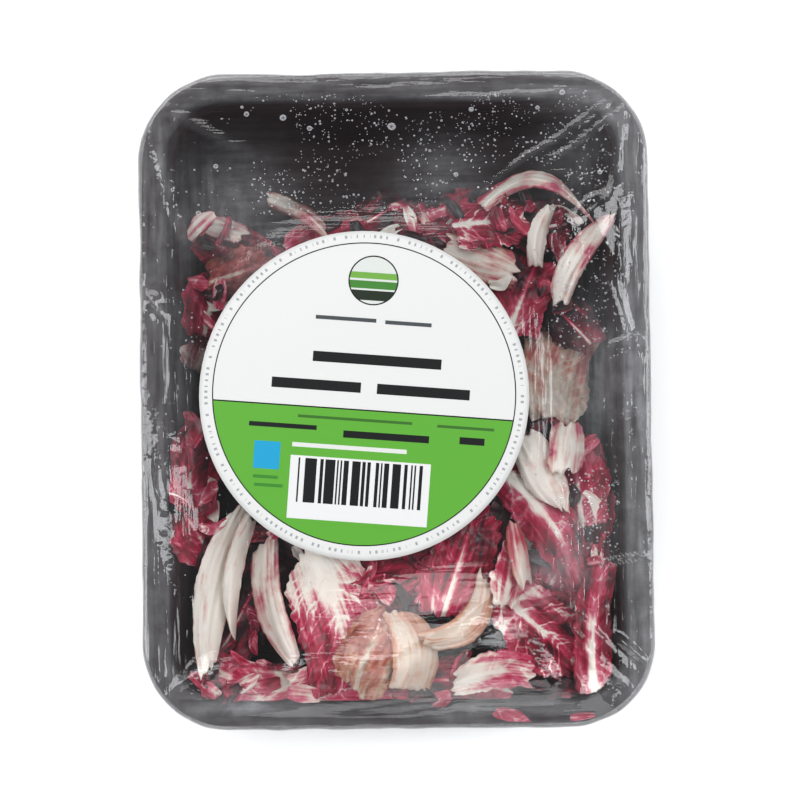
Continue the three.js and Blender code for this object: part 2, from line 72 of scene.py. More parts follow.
# The photograph, 800 pixels square, and the pack's outline in it
PHOTO_SIZE = 800
PACK_LEFT, PACK_RIGHT = 139, 653
PACK_TOP, PACK_BOTTOM = 70, 728
PACK_TURN = math.radians(0.7)  # anticlockwise
CAMERA_HEIGHT = 0.72
CAMERA_TILT = math.radians(2.0)  # it stands a little towards the pack's -Y end

scene = bpy.context.scene


def linear(hex_colour):
    """An sRGB hex colour as linear numbers."""
    value = int(hex_colour.lstrip("#"), 16)
    channels = [((value >> shift) & 255) / 255 for shift in (16, 8, 0)]
    bent = [c / 12.92 if c <= 0.04045 else ((c + 0.055) / 1.055) ** 2.4 for c in channels]
    return (*bent, 1.0)


def smooth_step(value, start, end):
    share = min(1.0, max(0.0, (value - start) / (end - start)))
    return share * share * (3 - 2 * share)


# Camera, light and floor

def place_camera():
    data = bpy.data.cameras.new("camera")
    camera = bpy.data.objects.new("camera", data)
    scene.collection.objects.link(camera)
    seen_width = PACK_WIDTH * PHOTO_SIZE / (PACK_RIGHT - PACK_LEFT)
    data.lens = data.sensor_width * CAMERA_HEIGHT / seen_width
    data.clip_start = 0.01
    data.clip_end = 20
    camera.rotation_euler = Euler((CAMERA_TILT, 0, -PACK_TURN))
    back = camera.rotation_euler.to_matrix() @ Vector((0, 0, 1))
    camera.location = Vector((0, 0, RIM_TOP)) + back * CAMERA_HEIGHT
    data.shift_x = 0.5 - (PACK_LEFT + PACK_RIGHT) / 2 / PHOTO_SIZE
    data.shift_y = (PACK_TOP + PACK_BOTTOM) / 2 / PHOTO_SIZE - 0.5
    scene.camera = camera


def add_light(name, place, size, power, colour="#ffffff"):
    data = bpy.data.lights.new(name, "AREA")
    data.shape = "RECTANGLE"
    data.size, data.size_y = size
    data.energy = power
    data.color = linear(colour)[:3]
    light = bpy.data.objects.new(name, data)
    light.location = place
    light.rotation_euler = (-Vector(place)).to_track_quat("-Z", "Y").to_euler()
    scene.collection.objects.link(light)


def light_studio():
    """Four softboxes round the table, two small lamps for glints, and a dim ceiling so the film stays clear."""
    world = bpy.data.worlds.new("studio")
    scene.world = world
    world.use_nodes = True
    world.node_tree.nodes["Background"].inputs["Color"].default_value = linear("#f2f3f6")
    world.node_tree.nodes["Background"].inputs["Strength"].default_value = 0.15
    add_light("far_softbox", (-0.2, 0.8, 0.85), (1.5, 0.8), 14.0)
    add_light("near_softbox", (0.2, -0.9, 0.72), (1.5, 0.7), 7.0)
    add_light("left_softbox", (-0.9, -0.1, 0.8), (0.4, 1.2), 10.0, "#fbfdff")
    add_light("right_softbox", (0.9, 0.1, 0.8), (0.4, 1.2), 10.0, "#fbfdff")
    add_light("left_glint", (-0.5, 0.62, 0.8), (0.1, 0.1), 0.45)
    add_light("right_glint", (0.6, -0.35, 0.8), (0.1, 0.1), 0.3)
    scene.view_settings.view_transform = "Standard"


# Materials

def new_material(name):
    material = bpy.data.materials.new(name)
    material.use_nodes = True
    material.node_tree.nodes.clear()
    return material, material.node_tree


def add_node(tree, kind, inputs=None, **settings):
    """A shader node with its settings. Each input is a number, a colour, or a node or output to link."""
    node = tree.nodes.new("ShaderNode" + kind)
    for name, value in settings.items():
        setattr(node, name, value)
    for name, value in (inputs or {}).items():
        if isinstance(value, bpy.types.Node):
            value = value.outputs[0]
        if isinstance(value, bpy.types.NodeSocket):
            tree.links.new(value, node.inputs[name])
        else:
            node.inputs[name].default_value = value
    return node


def set_stops(ramp, stops):
    """Give a colour ramp its stops, as (place, hex colour), and return its colour."""
    elements = ramp.color_ramp.elements
    while len(elements) < len(stops):
        elements.new(0.5)
    for element, (place, colour) in zip(elements, stops):
        element.position = place
        element.color = linear(colour)
    return ramp.outputs["Color"]


def black_foam():
    """Black expanded polystyrene with a moulded skin: a dull satin, as foam is mostly air, with faint beads.

    Its black is faintly red: a painted reflection of the red light the leaves throw on it.
    """
    material, tree = new_material("black_foam")
    place = add_node(tree, "TexCoord").outputs["Object"]
    beads = add_node(
        tree, "TexVoronoi", {"Vector": place, "Scale": 1 / (2.4 * MM)}, feature="DISTANCE_TO_EDGE"
    )
    seams = add_node(tree, "Math", {0: beads, 1: 5.0}, operation="MULTIPLY", use_clamp=True)
    bump = add_node(tree, "Bump", {"Height": seams, "Strength": 0.22, "Distance": 0.12 * MM})
    scuffs = add_node(tree, "TexNoise", {"Vector": place, "Scale": 90.0, "Detail": 5.0})
    # the red in these stops is painted reflected light from the leaves
    colour = set_stops(add_node(tree, "ValToRGB", {"Fac": scuffs}), [(0.3, "#170609"), (0.7, "#220e13")])
    rough = add_node(tree, "Math", {0: scuffs, 1: 0.2, 2: 0.33}, operation="MULTIPLY_ADD")
    shader = add_node(
        tree, "BsdfPrincipled", {"Base Color": colour, "Roughness": rough, "Normal": bump, "IOR": 1.25}
    )
    add_node(tree, "OutputMaterial", {"Surface": shader})
    return material


def stretch_film():
    """Clear PVC stretch film: glossy, see-through, misted on its inside with fine condensation, and with a
    painted white sheen on its rim and fold ridges.
    """
    material, tree = new_material("stretch_film")
    place = add_node(tree, "TexCoord").outputs["Object"]
    mist_and_sheen = add_node(tree, "Attribute", attribute_name="mist_and_sheen").outputs["Fac"]
    crinkle = add_node(tree, "Attribute", attribute_name="crinkle").outputs["Fac"]
    along_x = add_node(tree, "Attribute", attribute_name="along_x").outputs["Fac"]
    # the film is drawn tight along the rim, so its pulls, its mist and the sheen painted on the rim run with
    # the rim's sides
    side_pull = add_node(tree, "Mapping", {"Vector": place, "Scale": (1.0, 0.09, 1.0)})
    end_pull = add_node(tree, "Mapping", {"Vector": place, "Scale": (0.09, 1.0, 1.0)})
    side_streaks = add_node(tree, "TexNoise", {"Vector": side_pull, "Scale": 620.0, "Detail": 2.0})
    end_streaks = add_node(tree, "TexNoise", {"Vector": end_pull, "Scale": 620.0, "Detail": 2.0})
    streaks = add_node(tree, "Mix", {0: along_x, 2: side_streaks, 3: end_streaks})
    mist = add_node(tree, "TexNoise", {"Vector": place, "Scale": 200.0, "Detail": 4.0, "Roughness": 0.75})
    clouds = add_node(tree, "Math", {0: mist, 1: streaks}, operation="MULTIPLY")
    clouds = add_node(tree, "Math", {0: clouds, 1: 3.6, 2: 0.1}, operation="MULTIPLY_ADD")
    mist_and_sheen_share = add_node(tree, "Math", {0: clouds, 1: mist_and_sheen}, operation="MULTIPLY", use_clamp=True)
    mist_and_sheen_share = add_node(tree, "Math", {0: mist_and_sheen_share, 1: 0.002}, operation="ADD")
    folds = add_node(tree, "TexNoise", {"Vector": place, "Scale": 260.0, "Detail": 2.0})
    pleats = add_node(tree, "Math", {0: folds, 1: crinkle}, operation="MULTIPLY")
    soft = add_node(tree, "Math", {0: streaks, 1: 0.22}, operation="MULTIPLY")
    height = add_node(tree, "Math", {0: pleats, 1: soft}, operation="ADD")
    bump = add_node(tree, "Bump", {"Height": height, "Strength": 1.0, "Distance": 1.1 * MM})
    clear = add_node(tree, "BsdfTransparent", {"Color": linear("#fdfdfe")})
    # white diffuse for the real mist, and for the painted sheen on the rim and painted highlight on the fold
    # ridges
    mist_and_sheen_white = add_node(tree, "BsdfDiffuse", {"Color": linear("#e9ebef")})
    body = add_node(tree, "MixShader", {0: mist_and_sheen_share, 1: clear, 2: mist_and_sheen_white})
    gloss = add_node(tree, "BsdfGlossy", {"Color": linear("#ffffff"), "Roughness": 0.1, "Normal": bump})
    fresnel = add_node(tree, "Fresnel", {"IOR": 1.53})
    share = add_node(tree, "Math", {0: fresnel, 1: 0.8}, operation="MINIMUM")
    shader = add_node(tree, "MixShader", {0: share, 1: body, 2: gloss})
    add_node(tree, "OutputMaterial", {"Surface": shader})
    return material


def condensation_water():
    """Beads of water on the film: clear in the middle, with a painted white ring at the rim that stands for the
    light they bend.
    """
    material, tree = new_material("condensation_water")
    facing = add_node(tree, "LayerWeight", {"Blend": 0.55}).outputs["Facing"]
    edge = add_node(tree, "Math", {0: facing, 1: 0.55}, operation="POWER", use_clamp=True)
    clear = add_node(tree, "BsdfTransparent", {"Color": linear("#ffffff")})
    # a white shader on the beads' rims: painted light in place of the light the water bends
    painted_rim_white = add_node(
        tree, "BsdfPrincipled", {"Base Color": linear("#fbfcff"), "Roughness": 0.05, "IOR": 1.33}
    )
    shader = add_node(tree, "MixShader", {0: edge, 1: clear, 2: painted_rim_white})
    add_node(tree, "OutputMaterial", {"Surface": shader})
    return material


def leaf_tissue():
    """Radicchio leaf: waxy and a little wet, burgundy blade, white ribs and a net of pale veins."""
    material, tree = new_material("leaf_tissue")
    along_leaf = add_node(tree, "Attribute", attribute_name="leaf_mm").outputs["Vector"]
    tint = add_node(tree, "Attribute", attribute_name="leaf_tint").outputs["Vector"]
    u, v, seed = add_node(tree, "SeparateXYZ", {0: along_leaf}).outputs
    pale, veined, wilted = add_node(tree, "SeparateXYZ", {0: tint}).outputs
    patches = add_node(tree, "TexNoise", {"Vector": along_leaf, "Scale": 0.16, "Detail": 5.0})
    # side veins leave the rib at a slant, wander, and thin out towards the edge
    aside = add_node(tree, "Math", {0: v}, operation="ABSOLUTE")
    slant = add_node(tree, "Math", {0: aside, 1: -0.95, 2: u}, operation="MULTIPLY_ADD")
    slant = add_node(tree, "Math", {0: patches, 1: 9.0, 2: slant}, operation="MULTIPLY_ADD")
    thin = add_node(tree, "Math", {0: v, 1: 0.3}, operation="MULTIPLY")
    fan = add_node(tree, "CombineXYZ", {0: slant, 1: thin, 2: seed})
    side = add_node(tree, "TexVoronoi", {"Vector": fan, "Scale": 0.21}, feature="DISTANCE_TO_EDGE")
    side = add_node(tree, "Math", {0: side, 1: -11.0, 2: 1.0}, operation="MULTIPLY_ADD", use_clamp=True)
    net = add_node(tree, "TexVoronoi", {"Vector": along_leaf, "Scale": 0.55}, feature="DISTANCE_TO_EDGE")
    net = add_node(tree, "Math", {0: net, 1: -3.0, 2: 0.25}, operation="MULTIPLY_ADD", use_clamp=True)
    lines = add_node(tree, "Math", {0: side, 1: net}, operation="MAXIMUM")
    seen = add_node(tree, "Math", {0: patches, 1: 3.0, 2: -0.8}, operation="MULTIPLY_ADD", use_clamp=True)
    lines = add_node(tree, "Math", {0: lines, 1: seen}, operation="MULTIPLY")
    lines = add_node(tree, "Math", {0: lines, 1: veined}, operation="MULTIPLY")
    # fine streaks run along the piece
    streak_place = add_node(tree, "Mapping", {"Vector": along_leaf, "Scale": (0.07, 0.8, 1.0)})
    streaks = add_node(tree, "TexNoise", {"Vector": streak_place, "Scale": 1.0, "Detail": 6.0})
    stray = add_node(tree, "Math", {0: streaks, 1: patches}, operation="ADD")
    stray = add_node(tree, "Math", {0: stray, 1: 0.75, 2: -0.75}, operation="MULTIPLY_ADD")
    level = add_node(tree, "Math", {0: pale, 1: stray}, operation="ADD")
    level = add_node(tree, "Math", {0: lines, 1: 0.5, 2: level}, operation="MULTIPLY_ADD", use_clamp=True)
    fresh = set_stops(add_node(tree, "ValToRGB", {"Fac": level}), FRESH_COLOURS)
    old = set_stops(add_node(tree, "ValToRGB", {"Fac": level}), WILTED_COLOURS)
    colour = add_node(tree, "Mix", {0: wilted, 6: fresh, 7: old}, data_type="RGBA").outputs[2]
    height = add_node(tree, "Math", {0: lines, 1: 0.9, 2: streaks}, operation="MULTIPLY_ADD")
    bump = add_node(tree, "Bump", {"Height": height, "Strength": 0.6, "Distance": 0.4 * MM})
    rough = add_node(tree, "Math", {0: patches, 1: 0.3, 2: 0.2}, operation="MULTIPLY_ADD")
    shader = add_node(
        tree,
        "BsdfPrincipled",
        {
            "Base Color": colour,
            "Roughness": rough,
            "Normal": bump,
            "IOR": 1.38,
            "Coat Weight": 0.15,
            "Coat Roughness": 0.1,
        },
    )
    add_node(tree, "OutputMaterial", {"Surface": shader})
    return material


def label_paper():
    """Coated label paper with plain print: a ring line, a green foot, a panel of bars and plain rules."""
    material, tree = new_material("label_paper")
    place = add_node(tree, "TexCoord").outputs["Object"]
    centred = add_node(
        tree,
        "Mapping",
        {"Vector": place, "Location": (LABEL_X, LABEL_Y + PRINT_SHIFT, 0), "Rotation": (0, 0, -LABEL_TURN)},
        vector_type="TEXTURE",
    )
    scaled = add_node(tree, "VectorMath", {0: centred, "Scale": 1 / MM}, operation="SCALE")
    x, y, _ = add_node(tree, "SeparateXYZ", {0: scaled}).outputs
    flat = add_node(tree, "CombineXYZ", {0: x, 1: y})
    distance = add_node(tree, "VectorMath", {0: flat}, operation="LENGTH").outputs["Value"]
    inside = add_node(tree, "Math", {0: distance, 1: RING_LINE_RADIUS}, operation="LESS_THAN")
    below = add_node(tree, "Math", {0: y, 1: GREEN_TOP}, operation="LESS_THAN")
    # each print is a mask and its colour, laid over the last
    prints = [(add_node(tree, "Math", {0: inside, 1: below}, operation="MULTIPLY"), "#4d8d2d")]
    ring = add_node(tree, "Math", {0: distance, 1: RING_LINE_RADIUS, 2: 0.17}, operation="COMPARE")
    prints.append((ring, INK))
    edge = add_node(tree, "Math", {0: y, 1: GREEN_TOP, 2: 0.2}, operation="COMPARE")
    prints.append((add_node(tree, "Math", {0: inside, 1: edge}, operation="MULTIPLY"), INK))
    # marks of uneven length fill the ring where small print would stand
    angle = add_node(tree, "Math", {0: y, 1: x}, operation="ARCTAN2")
    turns = add_node(tree, "Math", {0: angle, 1: TICKS / (2 * math.pi)}, operation="MULTIPLY")
    draw = add_node(tree, "TexNoise", {"W": turns, "Scale": 0.9, "Detail": 0.0}, noise_dimensions="1D")
    word = add_node(tree, "Math", {0: draw, 1: 0.46}, operation="GREATER_THAN")
    tick = add_node(tree, "Math", {0: turns}, operation="FRACT")
    tick = add_node(tree, "Math", {0: tick, 1: 0.5, 2: 0.2}, operation="COMPARE")
    band = add_node(tree, "Math", {0: distance, 1: RING_MARKS_RADIUS, 2: 0.45}, operation="COMPARE")
    tick = add_node(tree, "Math", {0: tick, 1: word}, operation="MULTIPLY")
    prints.append((add_node(tree, "Math", {0: tick, 1: band}, operation="MULTIPLY"), "#85888b"))
    # a plain round mark with three bands
    off = add_node(tree, "VectorMath", {0: flat, 1: ROUND_MARK_PLACE}, operation="DISTANCE").outputs["Value"]
    disc = add_node(tree, "Math", {0: off, 1: ROUND_MARK_RADIUS}, operation="LESS_THAN")
    prints.append((disc, "#b4b8b4"))
    for middle, half, colour in [(33.2, 0.9, "#5d8c39"), (30.6, 1.1, "#366b2a"), (27.6, 1.4, "#182216")]:
        stripe = add_node(tree, "Math", {0: y, 1: middle, 2: half}, operation="COMPARE")
        prints.append((add_node(tree, "Math", {0: stripe, 1: disc}, operation="MULTIPLY"), colour))
    mark_line = add_node(tree, "Math", {0: off, 1: ROUND_MARK_RADIUS + 0.15, 2: 0.2}, operation="COMPARE")
    prints.append((mark_line, INK))
    # rules where lines of words would stand, and the panel with its bars at random widths
    step = add_node(tree, "Math", {0: x, 1: 0.47}, operation="SNAP")
    step = add_node(tree, "Math", {0: step, 1: 53.9}, operation="ADD")
    draw = add_node(tree, "TexWhiteNoise", {"W": step}, noise_dimensions="1D").outputs["Value"]
    bars = add_node(tree, "Math", {0: draw, 1: 0.48}, operation="GREATER_THAN")
    for middle_x, middle_y, width, height, colour in LABEL_RULES:
        across = add_node(tree, "Math", {0: x, 1: middle_x, 2: width / 2}, operation="COMPARE")
        up = add_node(tree, "Math", {0: y, 1: middle_y, 2: height / 2}, operation="COMPARE")
        mask = add_node(tree, "Math", {0: across, 1: up}, operation="MULTIPLY")
        if colour == BARS:
            mask = add_node(tree, "Math", {0: mask, 1: bars}, operation="MULTIPLY")
            colour = INK
        prints.append((mask, colour))
    tone = None
    for mask, colour in prints:
        under = linear("#bdbdbc") if tone is None else tone
        tone = add_node(
            tree, "Mix", {0: mask, 6: under, 7: linear(colour)}, data_type="RGBA"
        ).outputs[2]
    grain = add_node(tree, "TexNoise", {"Vector": place, "Scale": 900.0, "Detail": 3.0})
    bump = add_node(tree, "Bump", {"Height": grain, "Strength": 0.12, "Distance": 0.05 * MM})
    shader = add_node(
        tree, "BsdfPrincipled", {"Base Color": tone, "Normal": bump, "Roughness": 0.45, "IOR": 1.3}
    )
    add_node(tree, "OutputMaterial", {"Surface": shader})
    return material


def studio_floor():
    """Seamless white paper, plain and matt."""
    material, tree = new_material("studio_floor")
    place = add_node(tree, "TexCoord").outputs["Object"]
    tone = add_node(tree, "TexNoise", {"Vector": place, "Scale": 3.0, "Detail": 2.0})
    colour = set_stops(add_node(tree, "ValToRGB", {"Fac": tone}), [(0.3, "#fbfbfb"), (0.7, "#fdfdfd")])
    shader = add_node(tree, "BsdfPrincipled", {"Base Color": colour, "Roughness": 0.85})
    add_node(tree, "OutputMaterial", {"Surface": shader})
    return material


# Radicchio's colours from burgundy to the white of its ribs, fresh and wilted
FRESH_COLOURS = [
    (0.0, "#120108"),
    (0.2, "#350315"),
    (0.38, "#860829"),
    (0.54, "#b81e48"),
    (0.68, "#cf5c7b"),
    (0.82, "#f0d2c8"),
    (0.95, "#fffbf0"),
]
WILTED_COLOURS = [
    (0.0, "#3a1712"),
    (0.35, "#7c4438"),
    (0.6, "#a4634c"),
    (0.85, "#bb8b6f"),
    (1.0, "#c2b2a1"),
]

# Label print, in millimetres from the label's middle, along its own turned axes
PRINT_SHIFT = 0.4 * MM
LABEL_TURN = math.radians(4.7)  # clockwise
RING_LINE_RADIUS = 42.4
RING_MARKS_RADIUS = 44.3
ROUND_MARK_PLACE, ROUND_MARK_RADIUS = (0.4, 31.9, 0), 6.7
GREEN_TOP = -4.6
TICKS = 170
INK = "#0e0f10"
BARS = "bars"
# middle x and y, width and height, colour
LABEL_RULES = [
    (-6.5, 20.6, 17, 1.1, "#3a3e41"),
    (11.0, 20.4, 13, 1.1, "#3a3e41"),
    (3.0, 9.6, 36, 2.9, INK),
    (-13.5, 1.6, 25, 2.9, INK),
    (16.5, 1.6, 26, 2.9, INK),
    (-2.0, -7.4, 32, 0.8, "#2f5a20"),
    (29.0, -7.6, 16, 0.8, "#2f5a20"),
    (-22.0, -10.4, 19, 1.3, INK),
    (7.0, -11.6, 24, 2.0, INK),
    (31.0, -11.2, 7, 2.0, INK),
    (-3.0, -15.4, 32, 1.2, "#babcb8"),
    (-25.9, -18.9, 7.3, 7.7, "#1784ab"),
    (-25.9, -25.0, 7.0, 0.9, "#2f6f24"),
    (-24.9, -27.3, 8.0, 0.9, "#2f6f24"),
    (0.4, -27.2, 39.2, 17.6, "#c1c1c1"),
    (0.4, -25.2, 35.4, 12.4, BARS),
]


# Shapes

def add_piece(name, mesh, material, replaced=()):
    """A piece of the pack that rides on its one body."""
    piece = bpy.data.objects.new(name, mesh)
    scene.collection.objects.link(piece)
    mesh.materials.clear()
    mesh.materials.append(material)
    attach(piece, "root")
    if replaced:
        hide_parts(*replaced)
    return piece


def mesh_of(bm, name):
    mesh = bpy.data.meshes.new(name)
    bm.to_mesh(mesh)
    bm.free()
    mesh.shade_smooth()
    return mesh


def merged_copy(node):
    """A node's mesh with its loose triangles merged, and paired to squares again."""
    bm = bmesh.new()
    bm.from_mesh(nodes[node].data)
    bmesh.ops.remove_doubles(bm, verts=bm.verts, dist=MERGE_DISTANCE)
    bmesh.ops.join_triangles(
        bm, faces=bm.faces, angle_face_threshold=math.radians(70), angle_shape_threshold=math.radians(80)
    )
    return bm


def subdivided(bm, name, levels):
    """The mesh that a Subdivision Surface makes of bm."""
    rough = bpy.data.objects.new(name + "_rough", mesh_of(bm, name + "_rough"))
    scene.collection.objects.link(rough)
    finer = rough.modifiers.new("finer", "SUBSURF")
    finer.levels = finer.render_levels = levels
    drawn = rough.evaluated_get(bpy.context.evaluated_depsgraph_get())
    mesh = bpy.data.meshes.new_from_object(drawn)
    bpy.data.objects.remove(rough)
    fine = bmesh.new()
    fine.from_mesh(mesh)
    return fine


def tree_of(node):
    """A node's faces, to drop points onto."""
    bm = bmesh.new()
    bm.from_mesh(nodes[node].data)
    tree = BVHTree.FromBMesh(bm)
    bm.free()
    return tree


DOWN = Vector((0, 0, -1))
film_tree = tree_of("film")
label_tree = tree_of("label")


def height_on(tree, x, y):
    """The height of the highest face at a place, or None."""
    # a ray that slips through between two faces gets a second try, a hair aside
    for aside in (0.0, 0.02 * MM):
        hit = tree.ray_cast(Vector((x + aside, y + aside, 0.2)), DOWN)[0]
        if hit:
            return hit.z
    return None


def make_tray(material):
    fine = subdivided(merged_copy("tray"), "tray", 2)
    add_piece("foam_tray", mesh_of(fine, "foam_tray"), material, ["tray"])


# Film

FILM_LEVEL = 0.3 * MM  # the real film is drawn at the middle of the solid's thickness
RING_POINTS = 560

# Folds in the film over the tray, from the photograph: start and end, height and half width, in millimetres
FILM_FOLDS = [
    ((63, 84), (22, 57), 0.35, 0.8),
    ((66, 81), (41, 64), 0.3, 0.7),
    ((66, 86), (58, 40), 0.35, 1.1),
    ((57, -47), (71, -44), 0.9, 0.8),
    ((60, -67), (71, -76), 0.8, 0.9),
    ((52, -72), (68, -84), 0.5, 0.8),
    ((48, -60), (64, -74), 0.4, 0.8),
    ((-71, 31), (-64, 23), 0.9, 1.5),
    ((-70, 27), (-65, 30), 0.7, 1.2),
    ((-64, 82), (-40, 70), 0.35, 1.2),
    ((-68, 78), (-58, 40), 0.3, 1.3),
    ((-64, -82), (-46, -66), 0.35, 1.2),
    ((-50, 90), (-6, 88), 0.4, 0.8),
    ((-20, 86.5), (34, 89), 0.4, 0.8),
    ((10, 84), (56, 86), 0.35, 0.9),
    ((60, 14), (71, 17), 0.6, 0.9),
    ((62, -6), (71, -4), 0.5, 0.8),
    ((61, 34), (69, 8), 0.4, 0.9),
]

# Where the film is misted and where it crinkles: middle, reach and amount, in millimetres
MIST = [
    ((58, 85), (14, 6), 0.06),
    ((-45, 56), (15, 13), 0.06),
    ((-34, 36), (10, 9), 0.06),
    ((14, 62), (12, 10), 0.05),
    ((58, 5), (9, 22), 0.07),
    ((52, 66), (12, 12), 0.03),
    ((52, -36), (10, 10), 0.06),
    ((44, -48), (9, 7), 0.09),
    ((-42, -84), (16, 4), 0.08),
    ((20, -84), (24, 4), 0.06),
    ((-61, 10), (4, 50), 0.035),
    ((0, 52), (60, 9), 0.01),
]
CRINKLES = [
    ((60, -5), (9, 28), 0.55),
    ((54, 55), (10, 12), 0.3),
    ((48, -32), (9, 9), 0.4),
    ((-62, 50), (8, 20), 0.3),
    ((-64, -20), (8, 30), 0.25),
    ((60, -76), (12, 12), 0.25),
    ((-6, -64), (12, 6), 0.2),
]


def ring_place(share, inset):
    """A point on the pack's outline, share of the way round, inset towards the middle."""
    radius = max(CORNER_RADIUS - inset, 4 * MM)
    half_x = PACK_WIDTH / 2 - inset - radius
    half_y = PACK_LENGTH / 2 - inset - radius
    quarter = math.pi / 2 * CORNER_RADIUS
    sides = [PACK_LENGTH / 2 - CORNER_RADIUS, PACK_WIDTH / 2 - CORNER_RADIUS]
    lengths = [sides[0], quarter, 2 * sides[1], quarter, 2 * sides[0], quarter, 2 * sides[1], quarter, sides[0]]
    walked = share * sum(lengths)
    leg = 0
    while leg < 8 and walked > lengths[leg]:
        walked -= lengths[leg]
        leg += 1
    part = walked / lengths[leg]
    corners = [(half_x, half_y), (-half_x, half_y), (-half_x, -half_y), (half_x, -half_y)]
    if leg % 2:
        middle = corners[leg // 2]
        angle = math.pi / 2 * (leg // 2 + part)
        return middle[0] + radius * math.cos(angle), middle[1] + radius * math.sin(angle)
    if leg == 0:
        return half_x + radius, half_y * part
    if leg == 8:
        return half_x + radius, -half_y * (1 - part)
    side = leg // 2
    start, end = corners[side - 1], corners[side]
    out = [(0, radius), (-radius, 0), (0, -radius)][side - 1]
    return (
        start[0] + (end[0] - start[0]) * part + out[0],
        start[1] + (end[1] - start[1]) * part + out[1],
    )


def inset_at(x, y):
    """How far a place lies inside the pack's outline."""
    over_x = abs(x) - (PACK_WIDTH / 2 - CORNER_RADIUS)
    over_y = abs(y) - (PACK_LENGTH / 2 - CORNER_RADIUS)
    corner = math.hypot(max(over_x, 0), max(over_y, 0))
    return CORNER_RADIUS - corner - min(max(over_x, over_y), 0)


def patch_amount(patches, x, y):
    """The sum of soft round patches at a place."""
    return sum(
        amount * math.exp(-(((x / MM - cx) / rx) ** 2) - ((y / MM - cy) / ry) ** 2)
        for (cx, cy), (rx, ry), amount in patches
    )


def film_look(x, y, z):
    """How misted the film is at a place, with painted sheen on the rim and a painted highlight along the fold
    ridges, how crinkled it is, and how far its pulls run along X.
    """
    inset = inset_at(x, y)
    rim = 1 - smooth_step(inset, 6.8 * MM, 9.5 * MM)
    side = smooth_step(abs(x) / (PACK_WIDTH / 2) - abs(y) / (PACK_LENGTH / 2), -0.1, 0.1)
    # painted sheen on the rim, more on the right side and a little less at the far end, where the light falls
    # so
    painted_rim_sheen = 0.06 + 0.035 * side * (x > 0) - 0.005 * (1 - side) * smooth_step(y, 0, 0.05)
    # real mist in patches, plus the painted rim sheen and a painted highlight along the folds' ridges
    mist_and_sheen = patch_amount(MIST, x, y) + rim * painted_rim_sheen + 0.025 * fold_ridge(x, y)[1]
    mist_and_sheen = 0.002 + mist_and_sheen * smooth_step(z, 0.026, 0.034)
    crinkle = 0.06 + 0.12 * rim + patch_amount(CRINKLES, x, y)
    return mist_and_sheen, crinkle, 1 - side


def fold_ridge(x, y):
    """How high the folds stand at a place, and how far a place lies on a ridge, from 0 to 1."""
    lift, ridge = 0.0, 0.0
    for (x0, y0), (x1, y1), height, width in FILM_FOLDS:
        along = Vector((x1 - x0, y1 - y0)) * MM
        away = Vector((x, y)) - Vector((x0, y0)) * MM
        share = away.dot(along) / along.length_squared
        if not -0.1 < share < 1.1:
            continue
        aside = (away.x * along.y - away.y * along.x) / along.length / MM
        aside = abs(aside + 0.9 * noise.noise(away.to_3d() * 90))
        if aside > 5 * width:
            continue
        fade = smooth_step(share, -0.1, 0.15) * (1 - smooth_step(share, 0.6, 1.1))
        top = fade * math.exp(-((aside / width) ** 2))
        lift += height * MM * (top - 0.4 * fade * math.exp(-(((aside - 2.2 * width) / width) ** 2)))
        ridge = max(ridge, top)
    return lift, ridge


GRID = 1.5 * MM
GRID_HALF = (50, 63)  # cells from the middle to the ends, across and along
SAG_LIMIT = 0.25 * MM  # how far the smoothed film may dip under the frame's


def film_grid():
    """Heights of the frame's film on a grid, smoothed where it spans from leaf to leaf."""
    columns, rows = range(-GRID_HALF[0], GRID_HALF[0] + 1), range(-GRID_HALF[1], GRID_HALF[1] + 1)
    raw = {(i, j): height_on(film_tree, i * GRID, j * GRID) for i in columns for j in rows}
    raw = {key: RIM_TOP if height is None else height for key, height in raw.items()}
    steps = [(di, dj) for di in (-6, -3, 0, 3, 6) for dj in (-6, -3, 0, 3, 6)]
    smooth = {}
    for (i, j), height in raw.items():
        around = [raw.get((i + di, j + dj), height) for di, dj in steps]
        smooth[i, j] = max(height - SAG_LIMIT, sum(around) / len(around))
        if inset_at(i * GRID, j * GRID) < 9 * MM:
            smooth[i, j] = height
    return smooth


def film_height(x, y):
    """The height of the film over the tray."""
    i, j = math.floor(x / GRID), math.floor(y / GRID)
    u, v = x / GRID - i, y / GRID - j
    near = film_heights[i, j] * (1 - u) + film_heights[i + 1, j] * u
    far = film_heights[i, j + 1] * (1 - u) + film_heights[i + 1, j + 1] * u
    z = near * (1 - v) + far * v - FILM_LEVEL
    distance = math.hypot(x - LABEL_X, y - LABEL_Y)
    if distance < LABEL_RADIUS + 9 * MM:
        reach = min(1.0, (LABEL_RADIUS - 0.5 * MM) / max(distance, MM))
        under = label_tree.ray_cast(
            Vector((LABEL_X + (x - LABEL_X) * reach, LABEL_Y + (y - LABEL_Y) * reach, 0)), -DOWN
        )[0].z
        share = 1 - smooth_step(distance, LABEL_RADIUS + 0.5 * MM, LABEL_RADIUS + 9 * MM)
        z += (under - 0.15 * MM - z) * share
    return z


film_heights = film_grid()

# The film's side, from under the base up to the rim: inset and height in millimetres
FILM_SIDE = [
    (40, 0.3), (34, 0.3), (28, 0.32), (22, 0.3), (17, 0.3), (14.4, 0.3), (12.6, 0.6), (11.7, 1.4), (11.2, 2.6),
    (10, 6.4), (8.7, 10.4), (7.3, 14.6), (5.9, 19), (4.4, 23.2), (2.9, 27.2), (1.5, 30.2), (0.65, 31.6),
    (0.35, 32.6), (0.3, 33.6), (0.35, 34.7), (0.7, 35.6), (1.3, 36.1), (2.0, 36.3),
]
TOP_LOOPS = 86


